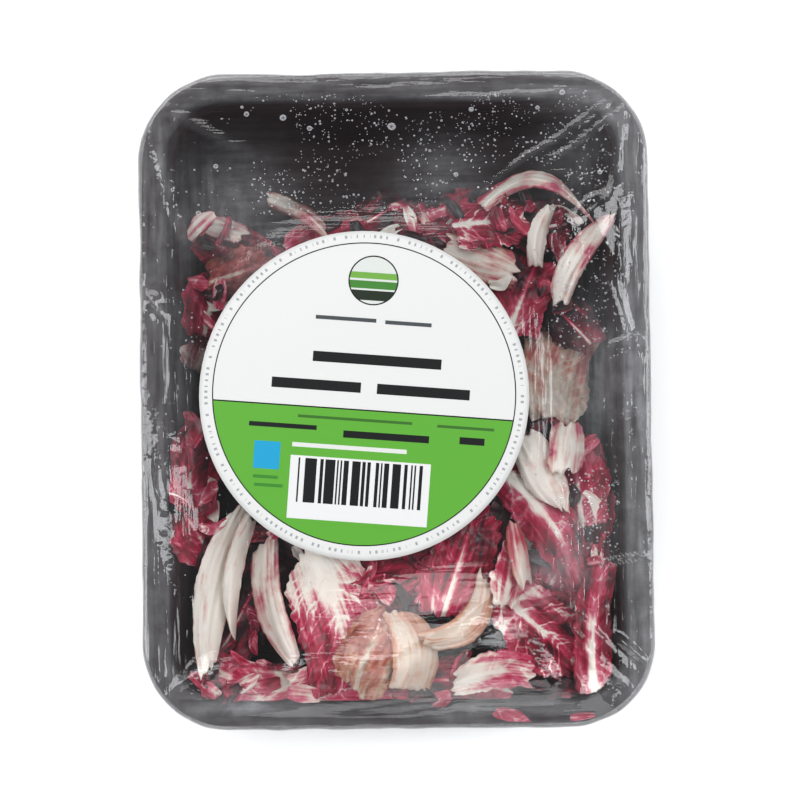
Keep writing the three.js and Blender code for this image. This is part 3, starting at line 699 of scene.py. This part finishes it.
def make_film(material):
    bm = bmesh.new()
    look_layers = [bm.verts.layers.float.new(name) for name in ("mist_and_sheen", "crinkle", "along_x")]
    bmesh.ops.create_circle(bm, segments=RING_POINTS, radius=PACK_WIDTH / 2)
    ring = list(bm.verts)
    rng = random.Random(11)
    phases = [rng.uniform(0, math.tau) for _ in range(6)]

    def set_look(vert):
        for layer, value in zip(look_layers, film_look(*vert.co)):
            vert[layer] = value

    def set_loop(loop, inset, z):
        for index, vert in enumerate(loop):
            share = index / RING_POINTS
            x, y = ring_place(share, inset * MM)
            turn = share * math.tau
            # pleats gather under the base and run out up the side
            pleat = math.sin(46 * turn + phases[0] + 2.2 * math.sin(3 * turn)) * math.sin(13 * turn + phases[1])
            under = smooth_step(inset, 3, 20)
            ripple = noise.noise(Vector((x, y, z * MM)) * 55) + 0.5 * noise.noise(Vector((x, y, z * MM)) * 160)
            lean = 0.45 * pleat * under * smooth_step(z, 0.6, 4) + 0.5 * ripple * (1 - under) * (z < 36)
            scale = 1 + (lean * MM) / math.hypot(x, y)
            low = 0.22 * pleat if z < 0.5 else 0.0
            edge = 2.6 * noise.noise(Vector((x, y, 0)) * 40) if inset > 38 else 0.0
            scale -= edge * MM / math.hypot(x, y)
            vert.co = Vector((x * scale, y * scale, (z + low) * MM))
            set_look(vert)

    def extrude(loop):
        edges = [bm.edges.get((a, b)) for a, b in zip(loop, loop[1:] + loop[:1])]
        made = bmesh.ops.extrude_edge_only(bm, edges=edges)
        link = {}
        for face in (g for g in made["geom"] if isinstance(g, bmesh.types.BMFace)):
            for edge in face.edges:
                a, b = edge.verts
                if a in old and b not in old:
                    link[a] = b
                elif b in old and a not in old:
                    link[b] = a
        return [link[v] for v in loop]

    old = set()
    set_loop(ring, *FILM_SIDE[0])
    for step in FILM_SIDE[1:]:
        old = set(ring)
        ring = extrude(ring)
        set_loop(ring, *step)
    rim = [v.co.copy() for v in ring]
    for number in range(1, TOP_LOOPS):
        share = 1 - number / TOP_LOOPS
        old = set(ring)
        ring = extrude(ring)
        for vert, start in zip(ring, rim):
            x, y = start.x * share, start.y * share
            z = film_height(x, y)
            crumple = patch_amount(CRINKLES, x, y)
            slack = noise.noise(Vector((x, y * 0.6, 1)) * 70)
            slack += 1.3 * noise.noise(Vector((x, y, 5)) * 210) * crumple
            near_label = 1 - smooth_step(
                math.hypot(x - LABEL_X, y - LABEL_Y), LABEL_RADIUS, LABEL_RADIUS + 7 * MM
            )
            vert.co = Vector((x, y, z + (fold_ridge(x, y)[0] + 0.25 * MM * slack) * (1 - near_label)))
            set_look(vert)
    bmesh.ops.contextual_create(bm, geom=ring)
    bmesh.ops.poke(bm, faces=[f for f in bm.faces if len(f.verts) > 4])
    bmesh.ops.recalc_face_normals(bm, faces=bm.faces)
    film = add_piece("stretch_film", mesh_of(bm, "stretch_film"), material, ["film"])
    # cut from a 300 mm roll and drawn tight
    return film


# Label

PAPER_THICKNESS = 0.12 * MM
LABEL_LIFT = 0.18 * MM  # the paper's underside over the drawn film


def make_label(material):
    bm = bmesh.new()
    rings = 26
    spoke = [bm.verts.new((LABEL_X + LABEL_RADIUS * i / rings, LABEL_Y, 0)) for i in range(rings + 1)]
    edges = [bm.edges.new(pair) for pair in zip(spoke, spoke[1:])]
    bmesh.ops.spin(
        bm,
        geom=spoke + edges,
        cent=(LABEL_X, LABEL_Y, 0),
        axis=(0, 0, 1),
        angle=math.tau,
        steps=96,
        use_merge=True,
    )
    bmesh.ops.remove_doubles(bm, verts=bm.verts, dist=MERGE_DISTANCE)
    for vert in bm.verts:
        lift = 0.1 * MM * noise.noise(Vector((vert.co.x, vert.co.y, 3)) * 35)
        vert.co.z = film_height(vert.co.x, vert.co.y) + LABEL_LIFT + lift
    bmesh.ops.recalc_face_normals(bm, faces=bm.faces)
    if sum(f.normal.z for f in bm.faces) < 0:
        bmesh.ops.reverse_faces(bm, faces=bm.faces)
    label = add_piece("paper_label", mesh_of(bm, "paper_label"), material, ["label"])
    paper = label.modifiers.new("paper", "SOLIDIFY")
    paper.thickness = PAPER_THICKNESS
    paper.offset = 1
    return label


# Leaves. Each row repeats where the frame's piece lies: x, y, turn in degrees, length, width, the shares of the
# width at the base and the tip and the sideways bend, in millimetres, and then its look
LEAVES = {
    "large_leaf_01": (-26, -47, 20, 56, 48, 0.7, 0.6, 0.04, "burgundy"),
    "large_leaf_02": (27, -46, 100, 54, 48, 0.6, 0.7, -0.03, "burgundy"),
    "large_leaf_03": (-26, 8, 95, 56, 48, 0.6, 0.6, 0.02, "burgundy"),
    "large_leaf_04": (27, 10, 75, 54, 46, 0.7, 0.7, -0.04, "burgundy"),
    "large_leaf_05": (0, 36, 10, 60, 40, 0.7, 0.6, 0.0, "burgundy"),
    "large_leaf_06": (0, -57, 5, 58, 40, 0.7, 0.6, 0.03, "burgundy"),
    "large_leaf_07": (-25, -26, 140, 56, 46, 0.6, 0.7, -0.02, "burgundy"),
    "large_leaf_08": (26, -25, 50, 56, 44, 0.7, 0.6, 0.03, "burgundy"),
    "large_leaf_09": (6, 10, 160, 56, 46, 0.6, 0.6, -0.03, "burgundy"),
    "large_leaf_10": (0, -40, 20, 56, 46, 0.7, 0.7, 0.02, "burgundy"),
    "cut_leaf_01": (-57, -19, 80, 24, 15, 0.8, 0.7, 0.05, "crimson"),
    "cut_leaf_02": (-55, -40, 120, 20, 14, 0.7, 0.5, 0.0, "crimson"),
    "cut_leaf_03": (-55, 16, 70, 15, 10, 0.7, 0.6, 0.0, "pink"),
    "cut_leaf_04": (-45, -60, 62, 32, 19, 0.8, 0.4, 0.0, "dark"),
    "cut_leaf_05": (-42, -78, 170, 30, 13, 0.7, 0.5, 0.04, "pink"),
    "cut_leaf_06": (-14, -80, 4, 32, 14, 0.8, 0.6, 0.03, "pink"),
    "cut_leaf_07": (15, -80, 176, 34, 14, 0.7, 0.6, -0.03, "crimson"),
    "cut_leaf_08": (43, -74, 165, 28, 18, 0.8, 0.6, 0.0, "dark"),
    "cut_leaf_09": (53, -40, 85, 30, 16, 0.8, 0.8, 0.03, "crimson"),
    "cut_leaf_10": (43, -54, 60, 30, 24, 0.8, 0.7, 0.0, "pink"),
    "cut_leaf_11": (51, -25, 95, 26, 18, 0.8, 0.7, 0.0, "crimson"),
    "curled_leaf_01": (47, 8, 75, 30, 22, 0.7, 0.8, 0.05, "beige"),
    "cut_leaf_12": (50, 22, 130, 20, 13, 0.7, 0.7, 0.0, "dark"),
    "cut_leaf_13": (37, 30, 68, 24, 17, 0.8, 0.7, 0.0, "crimson"),
    "cut_leaf_14": (39, 52, 175, 26, 17, 0.7, 0.7, 0.05, "dark"),
    "cut_leaf_15": (22, 55, 30, 22, 12, 0.7, 0.7, 0.06, "crimson"),
    "cut_leaf_16": (-45, 43, 150, 26, 19, 0.8, 0.7, 0.0, "crimson"),
    "cut_leaf_17": (-53, 29, 80, 20, 15, 0.7, 0.7, 0.0, "crimson"),
    "cut_leaf_18": (-4, 54, 30, 18, 13, 0.7, 0.7, 0.0, "dark"),
    "cut_leaf_19": (8, 48, 120, 20, 15, 0.8, 0.6, 0.0, "crimson"),
    "cut_leaf_20": (-20, 46, 20, 24, 15, 0.7, 0.7, 0.0, "crimson"),
    "cut_leaf_21": (2, -52, 8, 32, 20, 0.8, 0.7, 0.0, "crimson"),
    "cut_leaf_22": (17, -47, 72, 30, 20, 0.7, 0.8, 0.0, "crimson"),
    "leaf_with_rib_01": (-18, -60, -72, 38, 27, 0.6, 0.9, 0.03, "fan"),
    "leaf_with_rib_02": (42, -36, -56, 38, 15, 0.8, 0.6, 0.04, "striped"),
    "cut_leaf_23": (40, -65, -42, 28, 20, 0.8, 0.8, 0.0, "veined"),
    "leaf_with_rib_03": (26, -77, 8, 22, 11, 0.6, 0.9, 0.05, "pale_pink"),
    "leaf_with_rib_04": (55, -65, 86, 36, 11, 0.9, 0.8, 0.02, "striped"),
    "curled_leaf_02": (-7.6, -71, 60, 22, 18, 0.8, 0.8, 0.04, "wilted"),
    "cut_rib_01": (3, -70, 97, 22, 13, 0.9, 0.8, -0.08, "tan"),
    "cut_rib_02": (18, -61, 44, 25, 8.5, 0.8, 0.9, -0.13, "tan"),
    "cut_leaf_24": (31, -50, 80, 18, 10, 0.7, 0.6, 0.0, "pink"),
    "cut_rib_03": (34, -44, 100, 18, 6, 0.7, 0.6, 0.0, "cream"),
    "cut_rib_04": (41, -21, -63, 24, 12, 0.95, 0.2, 0.0, "white"),
    "cut_rib_05": (48, -14, 82, 14, 11, 0.9, 0.7, 0.0, "blush"),
    "curled_leaf_03": (25, 40, -20, 21, 13, 0.7, 0.7, 0.0, "cream"),
    "cut_leaf_25": (28, 51, 6, 22, 15, 0.8, 0.8, 0.0, "veined"),
    "cut_rib_06": (53, 40, 59, 28, 8, 0.8, 0.4, 0.04, "blush"),
    "cut_rib_07": (42, 58, -12, 32, 5.5, 0.6, 0.9, 0.2, "blush"),
    "cut_rib_08": (42, 47, 76, 18, 6, 0.7, 0.6, 0.05, "white"),
    "curled_leaf_04": (-44, 38, 20, 20, 15, 0.7, 0.7, 0.0, "browned"),
    "cut_rib_09": (-50, 51, -18, 14, 7, 0.6, 0.9, 0.0, "blush"),
    "cut_rib_10": (-28, 55, -33, 21, 5.5, 0.7, 0.8, 0.03, "cream"),
    "cut_leaf_26": (-61, -28, -32, 13, 6, 0.7, 0.4, 0.1, "crimson"),
    "cut_rib_11": (-35, -57, 104, 35, 9.5, 0.35, 0.9, 0.05, "blush"),
    "cut_rib_12": (-50.5, -52, 78, 48, 10.5, 0.35, 0.6, 0.04, "white"),
    "cut_rib_13": (-45.5, -49, 80, 34, 5.5, 0.4, 0.6, 0.04, "white"),
}

# Looks: how pale the blade is, how far its veins show, how wilted it is, how wide its white rib is as a share
# of the half width, how much paler it grows towards the base, how far it crinkles in millimetres, and how brown
# its cut edges are
LOOKS = {
    "burgundy": (0.1, 0.15, 0.0, 0.06, 0.1, 0.6, 0.0),
    "dark": (0.12, 0.25, 0.0, 0.06, 0.15, 0.7, 0.0),
    "crimson": (0.34, 0.4, 0.0, 0.08, 0.2, 0.7, 0.0),
    "veined": (0.33, 0.95, 0.0, 0.12, 0.2, 0.5, 0.0),
    "pink": (0.56, 0.4, 0.05, 0.1, 0.2, 0.6, 0.0),
    "pale_pink": (0.66, 0.3, 0.0, 0.3, 0.25, 0.3, 0.1),
    "fan": (0.4, 0.7, 0.0, 0.22, 0.55, 0.45, 0.0),
    "striped": (0.36, 0.4, 0.0, 0.3, 0.1, 0.4, 0.0),
    "blush": (0.8, 0.05, 0.04, 0.6, 0.05, 0.2, 0.15),
    "white": (1.02, 0.0, 0.08, 0.9, 0.05, 0.15, 0.1),
    "cream": (0.7, 0.05, 0.3, 0.7, 0.05, 0.3, 0.9),
    "tan": (0.9, 0.05, 0.88, 0.8, 0.05, 0.3, 0.3),
    "beige": (0.76, 0.3, 0.6, 0.1, 0.2, 1.9, 0.6),
    "wilted": (0.6, 0.3, 0.85, 0.1, 0.2, 1.9, 0.6),
    "browned": (0.36, 0.3, 0.6, 0.1, 0.1, 1.5, 0.5),
}


LEAF_CLEARANCE = 0.95 * MM  # from the top of a leaf to the film's upper side
SHRED_CLEARANCE = 1.0 * MM


def leaf_place(row, x, y):
    """Where a point lies on its piece: along from -1 at the base to 1 at the tip, and across from -1 to 1."""
    cx, cy, turn, long, wide, base, tip, arc, _ = row
    angle = math.radians(turn)
    dx, dy = x / MM - cx, y / MM - cy
    along = (dx * math.cos(angle) + dy * math.sin(angle)) / (long / 2)
    s = max(-1.2, min(1.2, along))
    end = base + (tip - base) * (s + 1) / 2
    width = wide * max(end + (1 - end) * (1 - s * s), 0.25)
    aside = -dx * math.sin(angle) + dy * math.cos(angle) - arc * long * (1 - 2 * s * s)
    return s, aside / (width / 2)


def make_leaf(name, row, material, seed):
    hidden = name.startswith("large")
    fine = subdivided(merged_copy(name), name, 2 if hidden else 3)
    ground, veined, wilted, rib, paler, crinkle, browned = LOOKS[row[8]]
    long, wide = row[3], row[4]
    stalk = rib > 0.5
    shift = Vector((seed * 7.3, seed * 3.1, 0))
    turn = math.radians(row[2])
    along_axis = Vector((math.cos(turn), math.sin(turn), 0))
    mm_layer = fine.verts.layers.float_vector.new("leaf_mm")
    tint_layer = fine.verts.layers.float_vector.new("leaf_tint")
    for vert in fine.verts:
        s, t = leaf_place(row, vert.co.x, vert.co.y)
        u, v = s * long / 2, t * wide / 2
        place = Vector((u, v, seed)) * 0.26 + shift
        edge = smooth_step(max(abs(t), abs(s)), 0.7, 1.0)
        on_rib = math.exp(-((t / rib) ** 2))
        # crinkles and a ruffled edge, or the long furrows of a cut stalk
        up = noise.noise(place) * 0.9 + noise.noise(place * 2.1) * 0.4
        up *= min(crinkle, 1.0) * (1 - 0.75 * on_rib)
        if crinkle > 1:
            # a wilted piece is creased like crumpled paper
            crease = abs(noise.noise(place * 1.1)) + 0.6 * abs(noise.noise(place * 2.3))
            up += 1.6 * (crinkle - 0.9) * (0.4 - crease)
        if stalk:
            up += 0.22 * noise.noise(Vector((u * 0.05, v * 0.8, seed))) * 2
        else:
            up += 1.1 * edge * noise.noise(Vector((u * 0.22, v * 0.22, seed + 9))) * min(1.0, wide / 15)
        # torn and cut outline
        tear = noise.noise(Vector((u * 0.5, v * 0.5, seed + 5))) + 0.5 * noise.noise(Vector((u, v, seed)) * 1.1)
        flat = Vector((vert.co.x / MM - row[0], vert.co.y / MM - row[1], 0))
        flat = flat.normalized() if flat.length > 1e-6 else flat
        out = flat * tear * edge * (0.45 if stalk else 1.3)
        ends = smooth_step(abs(s), 0.82, 1.0) * noise.noise(Vector((v * 0.45, seed, s)))
        out += along_axis * ends * (2.4 if stalk else 1.2) * (1 if s > 0 else -1)
        vert.co += (Vector((0, 0, up)) + out) * MM
        if not hidden:
            vert.co.z = min(vert.co.z, height_on(film_tree, vert.co.x, vert.co.y) - LEAF_CLEARANCE)
        base = paler * smooth_step(-s, -0.4, 1.0)
        level = ground + base + (0.97 - ground) * on_rib * (0.35 + 0.65 * smooth_step(-s, -0.9, 0.8))
        worn = smooth_step(abs(t), 0.72, 1.0) * (noise.noise(Vector((u * 0.2, seed, 2))) + 0.7)
        vert[mm_layer] = (u, v, seed * 1.7)
        vert[tint_layer] = (level - 0.2 * worn * stalk, veined, min(1.0, wilted + browned * worn))
    return add_piece(name + "_fine", mesh_of(fine, name + "_fine"), material, [name])


# Small cut shreds between the leaves

SHREDS = 110
SHRED_LOOKS = ["crimson", "crimson", "dark", "dark", "pink", "pink", "veined", "blush", "white"]
# the pieces that lie on top and stay bare
TOP_PIECES = ["cut_rib_", "leaf_with_rib_", "curled_leaf_", "cut_leaf_22", "cut_leaf_23", "cut_leaf_13"]


def shred(bm, layers, place, turn, long, wide, look, seed, lean=0.0, bend=0.0):
    """One small shred: a curled strip with torn ends, laid at a place in millimetres."""
    ground, veined, wilted = LOOKS[look][:3]
    made = bmesh.ops.create_grid(bm, x_segments=7, y_segments=4, size=1)
    for vert in made["verts"]:
        s, t = vert.co.x, vert.co.y
        width = wide / 2 * (1 - 0.45 * s * s + 0.35 * noise.noise(Vector((s * 1.5, seed, 0))))
        u = s * long / 2 + 1.2 * noise.noise(Vector((t * 1.4, seed, s)))
        v = t * width + bend * long * (s * s - 0.3)
        w = 0.16 * wide * t * t + lean * s + 0.8 * noise.noise(Vector((s * 1.3, t * 1.1, seed)))
        vert[layers[0]] = (u, v, seed * 1.3)
        vert[layers[1]] = (ground + 0.25 * noise.noise(Vector((s, t, seed + 3))), veined, wilted)
        vert.co = Vector((
            place[0] + u * math.cos(turn) - v * math.sin(turn),
            place[1] + u * math.sin(turn) + v * math.cos(turn),
            place[2] + w,
        )) * MM
    return made["verts"]


def pile_tree(starts):
    """The frame's leaves whose names start so, as one surface to drop things onto."""
    bm = bmesh.new()
    for name in LEAVES:
        if name.startswith(tuple(starts)):
            bm.from_mesh(nodes[name].data)
    tree = BVHTree.FromBMesh(bm)
    bm.free()
    return tree


def make_shreds(material):
    bm = bmesh.new()
    layers = [bm.verts.layers.float_vector.new(name) for name in ("leaf_mm", "leaf_tint")]
    rng = random.Random(23)
    pile = pile_tree([""])
    top = pile_tree(TOP_PIECES)
    laid = 0
    while laid < SHREDS:
        x, y = rng.uniform(-58, 59), rng.uniform(-84, 62)
        long, wide = rng.uniform(5, 12), rng.uniform(2, 5.5)
        under = height_on(pile, x * MM, y * MM)
        over = height_on(film_tree, x * MM, y * MM)
        covered = math.hypot(x - LABEL_X / MM, y - LABEL_Y / MM) < LABEL_RADIUS / MM - 4
        if covered or under is None or over - under < 2.0 * MM:
            continue
        if height_on(top, x * MM, y * MM) is not None and (y < 20 or rng.random() < 0.8):
            continue
        z = min(under / MM + rng.uniform(0.4, 2.0), over / MM - 1.6)
        verts = shred(
            bm, layers, (x, y, z), rng.uniform(0, math.tau), long, wide, rng.choice(SHRED_LOOKS), laid + 1,
            rng.uniform(-1.2, 1.2), rng.uniform(-0.25, 0.25)
        )
        for vert in verts:
            vert.co.z = min(vert.co.z, height_on(film_tree, vert.co.x, vert.co.y) - SHRED_CLEARANCE)
        laid += 1
    bmesh.ops.recalc_face_normals(bm, faces=bm.faces)
    bmesh.ops.solidify(bm, geom=bm.faces, thickness=0.35 * MM)
    shreds = add_piece("leaf_shreds", mesh_of(bm, "leaf_shreds"), material)
    finer = shreds.modifiers.new("finer", "SUBSURF")
    finer.levels = finer.render_levels = 1


def make_rim_scraps(material):
    """Two scraps that are caught between the film and the rim at the near end."""
    bm = bmesh.new()
    layers = [bm.verts.layers.float_vector.new(name) for name in ("leaf_mm", "leaf_tint")]
    tray_tree = tree_of("tray")
    shred(bm, layers, (31.5, -89.4, 36), math.radians(-25), 11, 4.6, "pink", 71, bend=-0.1)
    shred(bm, layers, (51, -89.7, 36), math.radians(3), 7, 3.6, "pink", 72)
    for vert in bm.verts:
        vert.co.y += max(0.0, 2.0 * MM - inset_at(vert.co.x, vert.co.y))
        vert.co.z = (height_on(tray_tree, vert.co.x, vert.co.y) or RIM_TOP) + 0.12 * MM
    bmesh.ops.recalc_face_normals(bm, faces=bm.faces)
    if sum(face.normal.z for face in bm.faces) < 0:
        bmesh.ops.reverse_faces(bm, faces=bm.faces)
    bmesh.ops.solidify(bm, geom=bm.faces, thickness=0.12 * MM)
    scraps = add_piece("rim_scraps", mesh_of(bm, "rim_scraps"), material)
    finer = scraps.modifiers.new("finer", "SUBSURF")
    finer.levels = finer.render_levels = 1


# Condensation under the film

def make_drops(material):
    bm = bmesh.new()
    rng = random.Random(5)
    # beads that can be told apart in the photograph: pixel column and row, and width in millimetres
    beads = [
        (249.5, 111, 1.5), (286, 115, 1.8), (312.5, 126, 1.5), (395, 125, 2.2), (218, 163, 1.4),
        (200, 210, 1.4), (566.5, 93, 1.6), (475, 109, 1.4), (541.5, 108, 1.2), (459, 174, 1.3),
        (603, 174, 1.3), (572.5, 222, 1.7), (566, 292, 1.2), (245, 104, 1.0), (433, 150, 0.9),
        (350, 108, 0.9),
    ]
    scale = PACK_WIDTH / (PACK_RIGHT - PACK_LEFT)
    middle_x, middle_y = (PACK_LEFT + PACK_RIGHT) / 2, (PACK_TOP + PACK_BOTTOM) / 2
    places = [((px - middle_x) * scale, (middle_y - py) * scale, size) for px, py, size in beads]
    fields = [((-40, 60), (52, 86), 1300), ((-62, -44), (40, 80), 60), ((44, 64), (10, 70), 420),
              ((44, 62), (-46, -20), 260), ((-66, -50), (-10, 40), 60), ((-60, 60), (-84, 60), 160)]
    for (x0, x1), (y0, y1), count in fields:
        for _ in range(count):
            x, y = rng.uniform(x0, x1) * MM, rng.uniform(y0, y1) * MM
            if noise.noise(Vector((x, y, 0)) * 75) > -0.15:
                places.append((x, y, 0.26 + 0.5 * rng.random() ** 3))
    for x, y, size in places:
        if math.hypot(x - LABEL_X, y - LABEL_Y) < LABEL_RADIUS + MM or inset_at(x, y) < 4 * MM:
            continue
        made = bmesh.ops.create_icosphere(bm, subdivisions=2 if size > 1 else 1, radius=size * MM / 2)
        squash = 0.55
        z = film_height(x, y) + fold_ridge(x, y)[0] - size * MM * 0.5 * squash - 0.05 * MM
        for vert in made["verts"]:
            wide = vert.co.x * (1 + 0.15 * rng.random())
            vert.co = Vector((wide, vert.co.y, vert.co.z * squash)) + Vector((x, y, z))
    add_piece("condensation_drops", mesh_of(bm, "condensation_drops"), material)


def make_floor(material):
    bm = bmesh.new()
    bmesh.ops.create_grid(bm, x_segments=1, y_segments=1, size=4)
    bmesh.ops.translate(bm, verts=bm.verts, vec=(0, 0, -0.02 * MM))
    floor = bpy.data.objects.new("floor", mesh_of(bm, "floor"))
    floor.data.materials.append(material)
    scene.collection.objects.link(floor)


place_camera()
light_studio()
make_floor(studio_floor())
make_tray(black_foam())
tissue = leaf_tissue()
for number, (leaf, row) in enumerate(LEAVES.items()):
    piece = make_leaf(leaf, row, tissue, number + 1)
make_shreds(tissue)
make_rim_scraps(tissue)
make_film(stretch_film())
make_label(label_paper())
make_drops(condensation_water())
